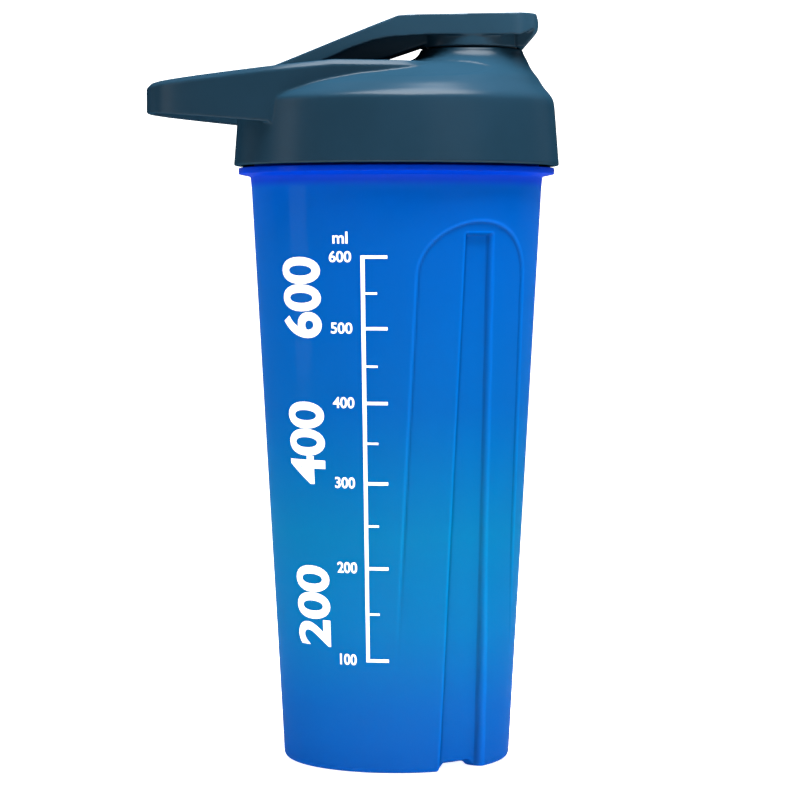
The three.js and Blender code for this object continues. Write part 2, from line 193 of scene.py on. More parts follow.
def smooth_path(points, steps):
    """Points along a Catmull-Rom curve through the given ones."""
    points = np.asarray(points, float)
    padded = np.vstack([2 * points[0] - points[1], points, 2 * points[-1] - points[-2]])
    out = []
    for i in range(1, len(padded) - 2):
        p0, p1, p2, p3 = padded[i - 1:i + 3]
        for t in np.linspace(0, 1, steps, endpoint=False):
            out.append(0.5 * (2 * p1 + (p2 - p0) * t + (2 * p0 - 5 * p1 + 4 * p2 - p3) * t ** 2
                              + (3 * p1 - p0 - 3 * p2 + p3) * t ** 3))
    out.append(points[-1])
    return np.array(out)


def rounded(profile, radius, steps=4):
    """A closed profile with each corner replaced by a short arc-like curve."""
    points = np.asarray(profile, float)
    out = []
    for i, corner in enumerate(points):
        before, after = points[i - 1], points[(i + 1) % len(points)]
        reach_in = min(radius, 0.45 * np.linalg.norm(before - corner))
        reach_out = min(radius, 0.45 * np.linalg.norm(after - corner))
        start = corner + (before - corner) / np.linalg.norm(before - corner) * reach_in
        end = corner + (after - corner) / np.linalg.norm(after - corner) * reach_out
        for t in np.linspace(0, 1, steps + 1):
            out.append((1 - t) ** 2 * start + 2 * t * (1 - t) * corner + t * t * end)
    return np.array(out)


def prism(name, outline, low, high, plane):
    """An outline extruded across Y from a side view (plane "XZ") or up Z from a plan (plane "XY")."""
    outline = np.asarray(outline, float)
    count = len(outline)

    def place(offset):
        flat = np.full(count, float(offset))
        first, second = outline[:, 0], outline[:, 1]
        return np.stack([first, flat, second] if plane == "XZ" else [first, second, flat], 1)

    vertices = np.vstack([place(low), place(high)])
    sides = [[i, (i + 1) % count, count + (i + 1) % count, count + i] for i in range(count)]
    faces = [list(range(count))[::-1], list(range(count, 2 * count)), *sides]
    thing = add_mesh(name, vertices, faces)
    face_out(thing)
    return thing


def rod(name, radius, low, high, x, z):
    """A round bar across Y."""
    angle = np.linspace(0, TAU, 48, endpoint=False)
    outline = np.stack([x + radius * np.cos(angle), z + radius * np.sin(angle)], 1)
    return prism(name, outline, low, high, "XZ")


def apply_modifiers(thing):
    """Bakes an object's modifiers into its mesh."""
    bpy.context.view_layer.update()
    graph = bpy.context.evaluated_depsgraph_get()
    mesh = bpy.data.meshes.new_from_object(thing.evaluated_get(graph))
    thing.modifiers.clear()
    thing.data = mesh
    return thing


def combine(thing, other, operation):
    """A boolean of two closed meshes. The second is used up."""
    modifier = thing.modifiers.new("combine", "BOOLEAN")
    modifier.operation = operation
    modifier.solver = "EXACT"
    modifier.object = other
    apply_modifiers(thing)
    bpy.data.objects.remove(other)
    return thing


def merge(name, parts):
    """Puts overlapping closed meshes into one object, as they are."""
    work = bmesh.new()
    for part in parts:
        work.from_mesh(part.data)
        bpy.data.objects.remove(part)
    mesh = bpy.data.meshes.new(name)
    work.to_mesh(mesh)
    work.free()
    thing = bpy.data.objects.new(name, mesh)
    bpy.context.scene.collection.objects.link(thing)
    return thing


def moulded(thing, voxel, passes):
    """Fuses overlapping parts into one skin with small fillets, as a moulding has."""
    remesh = thing.modifiers.new("fuse", "REMESH")
    remesh.mode = "VOXEL"
    remesh.voxel_size = voxel * MM
    remesh.use_smooth_shade = True
    smooth = thing.modifiers.new("fillet", "SMOOTH")
    smooth.factor = 0.5
    smooth.iterations = passes
    apply_modifiers(thing)
    shade_smooth(thing)
    return thing


# ------------------------------------------------------------ materials


def new_material(name, **values):
    """A principled material, its uniform values set on the shader's own sockets."""
    material = bpy.data.materials.new(name)
    material.use_nodes = True
    shader = material.node_tree.nodes["Principled BSDF"]
    for key, value in values.items():
        shader.inputs[key.replace("_", " ")].default_value = value
    return material, material.node_tree.nodes, material.node_tree.links, shader


def noise(nodes, links, scale, detail, stretch=(1, 1, 1)):
    """A noise texture that stays fixed to the piece."""
    coordinates = nodes.new("ShaderNodeTexCoord")
    mapping = nodes.new("ShaderNodeMapping")
    mapping.inputs["Scale"].default_value = stretch
    texture = nodes.new("ShaderNodeTexNoise")
    texture.inputs["Scale"].default_value = scale
    texture.inputs["Detail"].default_value = detail
    links.new(coordinates.outputs["Object"], mapping.inputs["Vector"])
    links.new(mapping.outputs["Vector"], texture.inputs["Vector"])
    return texture


def ramp(nodes, links, source, stops):
    """A colour ramp with (position, colour) stops."""
    node = nodes.new("ShaderNodeValToRGB")
    node.color_ramp.elements[0].position = stops[0][0]
    node.color_ramp.elements[0].color = (*stops[0][1], 1)
    node.color_ramp.elements[1].position = stops[-1][0]
    node.color_ramp.elements[1].color = (*stops[-1][1], 1)
    for position, colour in stops[1:-1]:
        element = node.color_ramp.elements.new(position)
        element.color = (*colour, 1)
    links.new(source, node.inputs["Fac"])
    return node


def map_range(nodes, links, source, low, high):
    """Maps 0 to 1 onto low to high."""
    node = nodes.new("ShaderNodeMapRange")
    node.inputs["To Min"].default_value = low
    node.inputs["To Max"].default_value = high
    links.new(source, node.inputs["Value"])
    return node


def bump(nodes, links, shader, source, strength, distance):
    node = nodes.new("ShaderNodeBump")
    node.inputs["Strength"].default_value = strength
    node.inputs["Distance"].default_value = distance
    links.new(source, node.inputs["Height"])
    links.new(node.outputs["Normal"], shader.inputs["Normal"])


def facing_coat(nodes, links, shader, amount):
    """A thin gloss that fades out where the surface turns away, as on soft polypropylene."""
    facing = nodes.new("ShaderNodeLayerWeight")
    gloss = map_range(nodes, links, facing.outputs["Facing"], amount, 0.0)
    gloss.inputs["From Max"].default_value = 0.75
    links.new(gloss.outputs["Result"], shader.inputs["Coat Weight"])


def moulded_plastic(name, dark, light, rough_low, rough_high, grain=900.0, coat=0.0, **values):
    """Satin moulded plastic or rubber: slight mottling of the colour, fine grain and uneven gloss."""
    material, nodes, links, shader = new_material(name, **values)
    if coat:
        facing_coat(nodes, links, shader, coat)
    mottle = noise(nodes, links, 35.0, 3.0)
    colour = ramp(nodes, links, mottle.outputs["Fac"], [(0.3, dark), (0.7, light)])
    links.new(colour.outputs["Color"], shader.inputs["Base Color"])
    gloss = noise(nodes, links, 120.0, 5.0)
    rough = map_range(nodes, links, gloss.outputs["Fac"], rough_low, rough_high)
    links.new(rough.outputs["Result"], shader.inputs["Roughness"])
    fine = noise(nodes, links, grain, 2.0)
    bump(nodes, links, shader, fine.outputs["Fac"], 0.06, 0.0004)
    return material


def cup_plastic():
    """Translucent blue polypropylene, with light and shade painted into its colour by height: painted shade
    towards the foot, a painted pale glow at a third of the height, and a band of painted shade from just
    under the flange up the neck.
    """
    material, nodes, links, shader = new_material(
        "cup_plastic", IOR=1.06, Transmission_Weight=0.15, Specular_IOR_Level=0.0,
        Specular_Tint=(0.05, 0.35, 1.0, 1.0), Coat_Roughness=0.06)
    facing_coat(nodes, links, shader, 0.06)
    coordinates = nodes.new("ShaderNodeTexCoord")
    split = nodes.new("ShaderNodeSeparateXYZ")
    links.new(coordinates.outputs["Object"], split.inputs["Vector"])
    height = map_range(nodes, links, split.outputs["Z"], 0.0, 1.0)
    height.inputs["From Max"].default_value = RIM * MM
    # Painted light and shade by height: darker towards the foot, a painted pale glow at 0.22 to 0.36, and
    # painted shade from 0.884 upwards, under the flange and up the neck.
    colour = ramp(nodes, links, height.outputs["Result"], [
        (0.0, (0.0, 0.06, 0.29)),
        (0.1, (0.0, 0.073, 0.29)),
        (0.22, (0.0, 0.108, 0.29)),
        (0.36, (0.0, 0.12, 0.28)),
        (0.55, (0.0, 0.08, 0.3)),
        (0.8, (0.0, 0.076, 0.34)),
        (0.884, (0.0, 0.07, 0.36)),
        (0.894, (0.0, 0.028, 0.32)),
        (0.93, (0.0, 0.026, 0.37)),
    ])
    mottle = noise(nodes, links, 14.0, 3.0, (1, 1, 0.35))
    mix = nodes.new("ShaderNodeMix")
    mix.data_type = "RGBA"
    mix.blend_type = "MULTIPLY"
    mix.inputs["Factor"].default_value = 0.25
    cloud = ramp(nodes, links, mottle.outputs["Fac"], [(0.3, (0.7, 0.7, 0.85)), (0.7, (1, 1, 1))])
    links.new(colour.outputs["Color"], mix.inputs["A"])
    links.new(cloud.outputs["Color"], mix.inputs["B"])
    # A vertex attribute scales the colour: painted shade in the grips' creases and painted highlights on
    # their edges.
    painted_light_attribute = nodes.new("ShaderNodeAttribute")
    painted_light_attribute.attribute_name = "edge_tone"
    painted_light = map_range(nodes, links, painted_light_attribute.outputs["Fac"], 0.6, 1.3)
    painted_colour = nodes.new("ShaderNodeVectorMath")
    painted_colour.operation = "SCALE"
    links.new(mix.outputs["Result"], painted_colour.inputs["Vector"])
    links.new(painted_light.outputs["Result"], painted_colour.inputs["Scale"])
    links.new(painted_colour.outputs["Vector"], shader.inputs["Base Color"])
    gloss = noise(nodes, links, 60.0, 4.0)
    rough = map_range(nodes, links, gloss.outputs["Fac"], 0.28, 0.38)
    links.new(rough.outputs["Result"], shader.inputs["Roughness"])
    ripple = noise(nodes, links, 25.0, 2.0, (1, 1, 0.2))
    bump(nodes, links, shader, ripple.outputs["Fac"], 0.08, 0.002)
    return material


def ink():
    """White screen-printing ink, very slightly speckled."""
    material, nodes, links, shader = new_material("scale_ink", IOR=1.5)
    speckle = noise(nodes, links, 2500.0, 3.0)
    whites = [(0.3, (0.86, 0.87, 0.88)), (0.6, (0.95, 0.95, 0.95))]
    colour = ramp(nodes, links, speckle.outputs["Fac"], whites)
    links.new(colour.outputs["Color"], shader.inputs["Base Color"])
    rough = map_range(nodes, links, speckle.outputs["Fac"], 0.4, 0.6)
    links.new(rough.outputs["Result"], shader.inputs["Roughness"])
    bump(nodes, links, shader, speckle.outputs["Fac"], 0.1, 0.0002)
    return material


CUP_PLASTIC = cup_plastic()
LID_PLASTIC = moulded_plastic(
    "lid_plastic", (0.005, 0.0175, 0.03), (0.0062, 0.0205, 0.0355), 0.3, 0.4,
    coat=0.2, Specular_IOR_Level=0.0, Coat_Roughness=0.28)
# The cap is the lid's plastic painted lighter, for the light that falls on the hood: a lit copy of the lid's
# material.
LID_PLASTIC_LIT_COPY = moulded_plastic(
    "lid_plastic_lit_copy", (0.009, 0.028, 0.046), (0.0105, 0.032, 0.053), 0.3, 0.42,
    coat=0.3, Specular_IOR_Level=0.0, Coat_Roughness=0.25)
SILICONE = moulded_plastic(
    "silicone", (0.008, 0.015, 0.022), (0.011, 0.02, 0.028), 0.55, 0.7,
    grain=600.0, Specular_IOR_Level=0.12)
GRID_PLASTIC = moulded_plastic(
    "grid_plastic", (0.012, 0.04, 0.065), (0.015, 0.047, 0.076), 0.4, 0.5,
    coat=0.2, Specular_IOR_Level=0.0, Coat_Roughness=0.3)
INK = ink()


def dress(thing, material, body, slot, *nodes):
    """Gives a piece its material and its body, and hides the CAD nodes that it stands for."""
    thing.data.materials.clear()
    thing.data.materials.append(material)
    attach(thing, body)
    if nodes:
        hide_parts(*nodes)
    return thing


# ------------------------------------------------------------ cup

RUN_OUT = 0.07  # share of a turn in which a thread ridge rises from the wall
RIDGE_CREST = 0.65  # half the ridge's width at its crest
RIDGE_ROOT = 1.25
ARCH_BAND = 17.0  # mean radius of a grip's arch, which scales the distance to its edge
FADE_LOW, FADE_HIGH = 26, 75  # heights between which a grip's panel sinks into the wall
EDGE_REACH = 0.65  # how far round a point the painted crease shade and edge highlight look for a change of depth
EDGE_BEND = 0.16  # the change of depth that gives the full painted shade in a crease and the full painted highlight on an edge
FLOOR_FILLET = 2.5
NOTCH_FADE = 7.0  # height at which the wall is straight again above a notch
NOTCH_START = 27.0  # distance from the axis at which a notch starts


def off_middle(angle, middle):
    """How far an angle is from a grip's middle, in radians."""
    return np.abs(np.mod(angle - middle + math.pi, TAU) - math.pi)


def thread_height(angle, z, start_z, amount):
    """How far the screw's ridges stand out at points of a round wall."""
    height = np.zeros(np.broadcast(angle, z).shape)
    for start in range(THREAD_STARTS):
        turned = np.mod(angle - TAU * start / THREAD_STARTS, TAU) / TAU
        for lap in range(math.ceil(THREAD_TURNS) + 1):
            along = turned + lap
            centre = start_z + THREAD_LEAD * along
            fade = smoothstep(0, RUN_OUT, along) * smoothstep(0, RUN_OUT, THREAD_TURNS - along)
            ridge = 1 - smoothstep(RIDGE_CREST, RIDGE_ROOT, np.abs(z - centre))
            height = np.maximum(height, ridge * fade)
    return amount * height


def grip_relief(angle, z, radius):
    """Depth of the two finger grips below the cup's plain wall."""
    depth = np.zeros(np.broadcast(angle, z).shape)
    springing = PANEL_TOP - ARCH_RISE
    for middle in (GRIP_ANGLE, GRIP_ANGLE + math.pi):
        arc = off_middle(angle, middle) * radius
        rise = np.maximum(0, z - springing) / ARCH_RISE
        half = np.interp(z, [0, springing], [PANEL_HALF_LOW, PANEL_HALF])
        inside = (1 - np.sqrt((arc / half) ** 2 + rise ** 2)) * np.where(rise > 0, ARCH_BAND, half)
        fade = smoothstep(FADE_LOW, FADE_HIGH, z)
        panel = PANEL_DEPTH * fade * smoothstep(-0.5, 0.6, inside)
        flute_half = np.interp(z, [0, FLUTE_TOP], [FLUTE_HALF_LOW, FLUTE_HALF])
        across = smoothstep(-0.9, 0.9, flute_half - arc)
        below = smoothstep(-0.15, 0.45, FLUTE_TOP - z)
        flute = (FLUTE_DEPTH - panel) * across * below
        depth = np.maximum(depth, panel + flute)
    return depth


def edge_tone(angle, z, radius):
    """Painted light from the grips' curvature: 0 gives painted shade in a grip's inner corners, 1 a painted
    highlight on its outer edges, and 0.5 is left where the wall is plain.
    """
    around = [grip_relief(angle + EDGE_REACH * math.cos(t) / radius, z + EDGE_REACH * math.sin(t), radius)
              for t in np.linspace(0, TAU, 8, endpoint=False)]
    bend = np.mean(around, 0) - grip_relief(angle, z, radius)
    return 0.5 + 0.5 * np.clip(bend / EDGE_BEND, -1, 1)


def notch_lift(angle, z, radius):
    """Raises the foot under each flute. The lift dies out a little way up the wall."""
    lift = np.zeros(np.broadcast(angle, z).shape)
    for middle in (GRIP_ANGLE, GRIP_ANGLE + math.pi):
        arc = off_middle(angle, middle) * BASE_RADIUS
        lift = np.maximum(lift, NOTCH * (1 - smoothstep(FLUTE_HALF, FLUTE_HALF_LOW, arc)))
    reach = np.clip(1 - z / NOTCH_FADE, 0, 1)
    return lift * reach * smoothstep(NOTCH_START - 0.6, NOTCH_START + 0.6, radius)


def make_cup():
    segments = 480
    angle = np.linspace(0, TAU, segments, endpoint=False)
    rings = []
    ring_painted_light = {}

    def add_ring(radius, height):
        rings.append(np.stack([radius * np.cos(angle), radius * np.sin(angle), height + 0 * angle], 1))

    def plain(radius, height):
        """A round ring, lifted where the foot is notched."""
        lift = notch_lift(angle, height, radius) if height < 3 else 0
        add_ring(radius, height + lift)

    def walled(height, inset):
        """A ring of the wall with its grips. The outer ones also get the notches and the painted crease
        shade and edge highlight.
        """
        radius = BASE_RADIUS + TAPER * height - inset
        r = radius - grip_relief(angle, height, radius)
        lift = 0
        if inset < CORNER:
            lift = notch_lift(angle, height, r)
            ring_painted_light[len(rings)] = edge_tone(angle, height, radius)
        add_ring(r, height + lift)

    # Inside: floor, wall, neck.
    plain(1, FLOOR_TOP)
    plain(20, FLOOR_TOP)
    for turn in np.linspace(0, math.pi / 2, 7):
        walled(FLOOR_TOP + FLOOR_FILLET * (1 - math.cos(turn)), WALL + FLOOR_FILLET * (1 - math.sin(turn)))
    heights = np.concatenate([np.arange(8, 140, 2.0), np.arange(140, 163, 0.45), np.arange(163, 172, 1.5)])
    for height in heights:
        walled(height, WALL)
    plain(NECK_BORE + 0.3, 172.6)
    plain(NECK_BORE, 173.4)
    plain(NECK_BORE, RIM - 0.6)
    plain(NECK_BORE + 0.2, RIM - 0.12)
    plain(NECK_BORE + 0.55, RIM)
    plain(NECK_RADIUS - 0.55, RIM)
    plain(NECK_RADIUS - 0.15, RIM - 0.15)
    # Outside: neck with its thread, flange, wall, foot.
    for height in np.arange(RIM - 0.6, FLANGE_TOP + 0.4, -0.3):
        add_ring(NECK_RADIUS + thread_height(angle, height, CUP_THREAD_Z, CUP_THREAD_DEPTH), height)
    plain(NECK_RADIUS + 0.3, FLANGE_TOP)
    plain(FLANGE_RADIUS - 0.3, FLANGE_TOP)
    plain(FLANGE_RADIUS - 0.08, FLANGE_TOP - 0.08)
    plain(FLANGE_RADIUS, FLANGE_TOP - 0.3)
    plain(FLANGE_RADIUS, FLANGE_BOTTOM + 0.3)
    plain(FLANGE_RADIUS - 0.1, FLANGE_BOTTOM + 0.05)
    plain(FLANGE_RADIUS - 0.4, FLANGE_BOTTOM - 0.06)
    wall_top = BASE_RADIUS + TAPER * SHOULDER
    plain(wall_top + 0.5, SHOULDER - 0.05)
    plain(wall_top + 0.12, SHOULDER - 0.35)
    for height in heights[::-1]:
        walled(height, 0)
    for height in (7, 6, 5, 4, 3, 2.3):
        walled(height, 0)
    for turn in np.linspace(0, math.pi / 2, 7):
        walled(CORNER * (1 - math.sin(turn)), CORNER * 0.8 * (1 - math.cos(turn)))
    for radius, height in ((30.5, 0), (28.2, 0), (27.4, 0.15), (27, 0.6), (26.6, 1.05), (25.8, 1.2),
                           (14.2, 1.2), (13.4, 1.05), (13, 0.6), (12.6, 0.12), (12, 0), (1, 0)):
        plain(radius, height)
    cup = ring_surface("cup_body", rings)
    shade_smooth(cup, 55)
    # Painted shade in the grips' creases and painted highlights on their edges, kept on the outer rings.
    painted_light = np.full(len(cup.data.vertices), 0.5)
    for ring, values in ring_painted_light.items():
        painted_light[ring * segments:(ring + 1) * segments] = values
    cup.data.attributes.new("edge_tone", "FLOAT", "POINT").data.foreach_set("value", painted_light)
    return dress(cup, CUP_PLASTIC, "cup", "cup_plastic", "bottle_cup")


# ------------------------------------------------------------ volume scale printed on the cup

SCALE_LEFT = -9.6  # left edge of the scale's upright, along the wall from the front
UPRIGHT = 1.1
SCALE_MIDDLE = 95.0  # height at which distances along the wall are true
INK_GAP = 0.02
INK_THICKNESS = 0.09


def volume_height(millilitres):
    """Height of the drink's surface for a volume. The grips take up 1.5 per cent."""
    z, volume, step = FLOOR_TOP, 0.0, 0.25
    while volume < millilitres * 1000:
        z += step
        volume += math.pi * (BASE_RADIUS + TAPER * z - WALL) ** 2 * step * 0.985
    return z


def flat_text(text, size, weight):
    """The filled outline of a text, flat, with its lower left corner at the origin, in millimetres."""
    curve = bpy.data.curves.new("text", "FONT")
    curve.body = text
    curve.size = size
    curve.offset = weight
    curve.resolution_u = 6
    curve.fill_mode = "BOTH"
    thing = bpy.data.objects.new("text", curve)
    bpy.context.scene.collection.objects.link(thing)
    bpy.context.view_layer.update()
    mesh = bpy.data.meshes.new_from_object(thing.evaluated_get(bpy.context.evaluated_depsgraph_get()))
    bpy.data.objects.remove(thing)
    points = np.array([v.co[:] for v in mesh.vertices])
    faces = [list(p.vertices) for p in mesh.polygons]
    points -= points.min(0)
    bpy.data.meshes.remove(mesh)
    return points[:, :2], faces


def bar(u, v, width, height):
    """A flat rectangle from its lower left corner, as (points, faces)."""
    points = np.array([[u, v], [u + width, v], [u + width, v + height], [u, v + height]])
    return points, [[0, 1, 2, 3]]


def print_layout():
    """Every shape of the scale as (points, faces), u along the wall and v up it, in millimetres."""
    shapes = []
    for amount in (200, 400, 600):
        top = volume_height(amount)
        points, faces = flat_text(str(amount), 18.4, 0.5)
        turned = np.stack([points[:, 1].max() - points[:, 1], points[:, 0]], 1)
        turned[:, 1] *= 0.86
        turned += [-35.6, top - turned[:, 1].max()]
        shapes.append((turned, faces))
    for amount in range(100, 601, 50):
        top = volume_height(amount)
        width, height = (6.2, 0.9) if amount % 100 == 0 else (3.4, 0.6)
        shapes.append(bar(SCALE_LEFT + 1, top - 0.45, width, height))
    low = volume_height(100) - 0.45
    high = volume_height(600) + 0.45
    shapes.append(bar(SCALE_LEFT, low, UPRIGHT, high - low))
    for amount in range(100, 601, 100):
        top = volume_height(amount)
        points, faces = flat_text(str(amount), 4.4, 0.07)
        shapes.append((points + [SCALE_LEFT - 9, top - 1.5], faces))
    points, faces = flat_text("ml", 4.8, 0.08)
    shapes.append((points + [SCALE_LEFT - 7.8, high + 3.4], faces))
    return shapes


def make_print():
    """Wraps the scale's flat shapes round the cup as a thin layer of ink."""
    work = bmesh.new()
    for points, faces in print_layout():
        made = [work.verts.new((u, v, 0)) for u, v in points]
        for face in faces:
            work.faces.new([made[i] for i in face])
    for u in np.arange(-38, 0, 1.0):
        geometry = [*work.verts, *work.edges, *work.faces]
        bmesh.ops.bisect_plane(work, geom=geometry, plane_co=(u, 0, 0), plane_no=(1, 0, 0))
    bmesh.ops.triangulate(work, faces=work.faces)
    solid = bmesh.ops.extrude_face_region(work, geom=list(work.faces))
    for item in solid["geom"]:
        if isinstance(item, bmesh.types.BMVert):
            item.co.z = 1.0
    for vertex in work.verts:
        u, v, level = vertex.co
        angle = -math.pi / 2 + u / (BASE_RADIUS + TAPER * SCALE_MIDDLE)
        r = BASE_RADIUS + TAPER * v + INK_GAP + INK_THICKNESS * level
        vertex.co = (r * math.cos(angle) * MM, r * math.sin(angle) * MM, v * MM)
    mesh = bpy.data.meshes.new("volume_scale")
    bmesh.ops.recalc_face_normals(work, faces=work.faces)
    work.to_mesh(mesh)
    work.free()
    thing = bpy.data.objects.new("volume_scale", mesh)
    bpy.context.scene.collection.objects.link(thing)
    return dress(thing, INK, "cup", "cup_plastic")


# ------------------------------------------------------------ lid

# Circles that the dome passes through: height, centre x, radius.
DOME = [
    [196.2, 0.05, 46.95],
    [197.5, 0.6, 45.9],
    [198.9, 1.6, 43.9],
    [200.8, 3.2, 40.7],
    [203.4, 8.0, 34.3],
    [205.5, 14.0, 26.7],
    [207.0, 18.4, 21.4],
    [208.8, 21.6, 17.4],
    [210.4, 22.3, 15.8],
]
LID_WALL = 1.7
LID_DROP = 1.4
CARRIER_INNER = 37.2  # the ring under the dome that the mixing grid clips onto
CARRIER_OUTER = 38.6
CARRIER_BOTTOM = 188.0
SKIRT_TOP = 194.6
SKIRT_TOP_RADIUS = 47.25
OVAL = [7.0, 205.2, 21.5, 2.9]  # centre x and height, half length and half height
OVAL_DEPTH = 1.0

# Carry loop: its outer face seen from above, from the tip to where it dies into the dome.
LOOP = [
    [LID_LOW.x, 0],
    [-73.2, 9.5],
    [-68.5, 17],
    [-58, 23.8],
    [-45, 28.9],
    [-33, 31.8],
    [-18, 31.3],
    [-4.5, 28.9],
    [5, 25.4],
    [12.5, 18.4],
]
LOOP_WALL = 2.2
LOOP_FLANGE = 6.5
LOOP_ROOT_X = -36.0  # where the loop leaves the dome
LOOP_TOP = 207.4
LOOP_ROOT_TOP = 205.6  # heights of its top and bottom edge at the root
LOOP_ROOT_BOTTOM = 189.3
LOOP_TOP_SLOPE = 0.1016
LOOP_BOTTOM_SLOPE = 0.0909
LOOP_CHAMFER = 1.5
LOOP_LEDGE = 2.2  # thickness of the flange that stands in from the loop's top
LUG_RADIUS = 2.9
CAP_KNUCKLE = 9.2  # half length of the cap's knuckle, between the lugs
LUG_INNER = 9.6  # the lugs' inner faces, from the middle


def dome_height(x, y):
    """Height of the dome's outer surface over a point of the plan."""
    stations = smooth_path(DOME, 8)
    away = np.hypot(x - stations[:, 1], y) - stations[:, 2]
    inside = np.where(away <= 0)[0]
    return stations[inside[-1], 0] if len(inside) else SKIRT_BOTTOM


def oval_recess(points):
    """Depth of the shallow oval hollows on the dome's sides, below the spout."""
    x, y, z = points[:, 0], points[:, 1], points[:, 2]
    centre_x, centre_z, half_length, half_height = OVAL
    ring = np.hypot((x - centre_x) / half_length, (z - centre_z) / half_height)
    return OVAL_DEPTH * (1 - smoothstep(0.93, 1.0, ring)) * smoothstep(9, 12, np.abs(y))


def make_lid_shell():
    """Skirt, dome and spout outside, then spout, dome, grid ring, gasket seat and thread inside."""
    segments = 288
    angle = np.linspace(0, TAU, segments, endpoint=False)
    skirt_heights = np.linspace(180, 193, 8)
    skirt_radii = np.interp(skirt_heights, [SKIRT_BOTTOM, SKIRT_TOP], [SKIRT_RADIUS, SKIRT_TOP_RADIUS])
    skirt_edge = [SKIRT_TOP, 0, SKIRT_TOP_RADIUS]
    curve = smooth_path([skirt_edge, *DOME, [SPOUT_RIM - 0.5, SPOUT_X, SPOUT_RADIUS]], 8)
    outer = [[SKIRT_BOTTOM + 0.35, 0, SKIRT_RADIUS]]
    outer += [[z, 0, r] for z, r in zip(skirt_heights, skirt_radii)]
    outer += curve.tolist()
    rings = circles([[r, z, x] for z, x, r in outer], segments)
    for ring in rings:
        centre = ring.mean(0)
        outward = ring - centre
        outward /= np.linalg.norm(outward, axis=1)[:, None]
        ring -= outward * oval_recess(ring)[:, None]
    spout_bore = SPOUT_RADIUS - LID_WALL
    rings += circles([
        [SPOUT_RADIUS - 0.15, SPOUT_RIM - 0.15],
        [SPOUT_RADIUS - 0.5, SPOUT_RIM],
        [spout_bore + 0.4, SPOUT_RIM],
        [spout_bore + 0.1, SPOUT_RIM - 0.15],
        [spout_bore, SPOUT_RIM - 0.5],
        [spout_bore, SPOUT_RIM - LID_DROP - 1],
    ], segments, SPOUT_X)
    under = [row for row in curve[::-1] if row[2] < CARRIER_INNER and row[0] < SPOUT_RIM - 2]
    rings += circles([[r - LID_WALL, z - LID_DROP, x] for z, x, r in under], segments)
    rings += circles([
        [CARRIER_INNER, SEAT + 2, 0.8],
        [CARRIER_INNER, SEAT - 1, 0],
        [CARRIER_INNER, CARRIER_BOTTOM + 0.3, 0],
        [CARRIER_INNER + 0.3, CARRIER_BOTTOM, 0],
        [CARRIER_OUTER - 0.3, CARRIER_BOTTOM, 0],
        [CARRIER_OUTER, CARRIER_BOTTOM + 0.3, 0],
        [CARRIER_OUTER, SEAT, 0],
        [LID_BORE, SEAT, 0],
    ], segments)
    for z in np.arange(SEAT - 0.5, SKIRT_BOTTOM + 0.5, -0.3):
        r = LID_BORE - thread_height(angle, z, LID_THREAD_Z, LID_THREAD_DEPTH)
        rings.append(np.stack([r * np.cos(angle), r * np.sin(angle), np.full(segments, z)], 1))
    rings += circles([
        [LID_BORE + 0.2, SKIRT_BOTTOM + 0.1],
        [LID_BORE + 0.5, SKIRT_BOTTOM],
        [SKIRT_RADIUS - 0.35, SKIRT_BOTTOM],
        [SKIRT_RADIUS - 0.1, SKIRT_BOTTOM + 0.1],
    ], segments)
    return ring_surface("lid_skin", rings, closed=True)


def make_loop():
    """The carry loop: an upright wall with a flange along its top, swept along its plan."""
    half = np.array(LOOP, float)
    mirrored = half[1:][::-1] * [1, -1]
    path = smooth_path(np.vstack([mirrored, half]), 14)
    rings = []
    for i, (x, y) in enumerate(path):
        ahead = path[min(i + 1, len(path) - 1)] - path[max(i - 1, 0)]
        ahead /= np.linalg.norm(ahead)
        inward = np.array([ahead[1], -ahead[0]])
        top = min(LOOP_TOP, LOOP_ROOT_TOP + LOOP_TOP_SLOPE * (x - LOOP_ROOT_X))
        bottom = LOOP_ROOT_BOTTOM + LOOP_BOTTOM_SLOPE * max(0, LOOP_ROOT_X - x)
        if x > LOOP_ROOT_X - 1:
            middle = np.array([x, y]) + inward * LOOP_WALL / 2
            over = dome_height(middle[0], middle[1]) - 1.3
            bottom += (over - bottom) * smoothstep(LOOP_ROOT_X - 1, LOOP_ROOT_X + 2.5, x)
        bottom = min(bottom, top - 3.2)
        section = rounded([
            [0, bottom],
            [0, top - LOOP_CHAMFER],
            [LOOP_CHAMFER, top],
            [LOOP_FLANGE, top],
            [LOOP_FLANGE, top - LOOP_LEDGE],
            [LOOP_WALL, top - LOOP_LEDGE],
            [LOOP_WALL, bottom],
        ], 0.2, 2)
        rings.append([[x + inward[0] * d, y + inward[1] * d, z] for d, z in section])
    return ring_surface("loop_band", rings)


def make_lugs():
    """The two round-topped lugs that hold the hinge pin."""
    turns = np.linspace(0, math.pi, 20)
    arch = [[HINGE_X + LUG_RADIUS * math.cos(t), HINGE_Z + LUG_RADIUS * math.sin(t)] for t in turns]
    outline = [[-46, SEAT + 1.2], [-38, SEAT + 1.2], *arch]
    spans = ((PIN_LOW.y, -LUG_INNER), (LUG_INNER, PIN_HIGH.y))
    return [prism("lug", outline, low, high, "XZ") for low, high in spans]


def make_lid():
    lid = merge("lid_body", [make_lid_shell(), make_loop(), *make_lugs()])
    moulded(lid, 0.4, 3)
    return dress(lid, LID_PLASTIC, "lid", "lid_plastic", "lid_shell")


# ------------------------------------------------------------ flip cap

# The arm and hood from the side: x, height.
HOOD_SIDE = [
    [HINGE_X, 204.45],
    [0.4, 221.1],
    [3, 221.35],
    [41.4, CAP_HIGH.z],
    [42.4, 219.9],
    [42.3, 218.6],
    [36.5, 215.6],
    [8, 215.4],
    [-1.1, 214.8],
    [-6.4, 213.9],
    [-13.2, 211.7],
    [-20.3, 208.6],
    [-31, 204.6],
    [HINGE_X, 200],
]
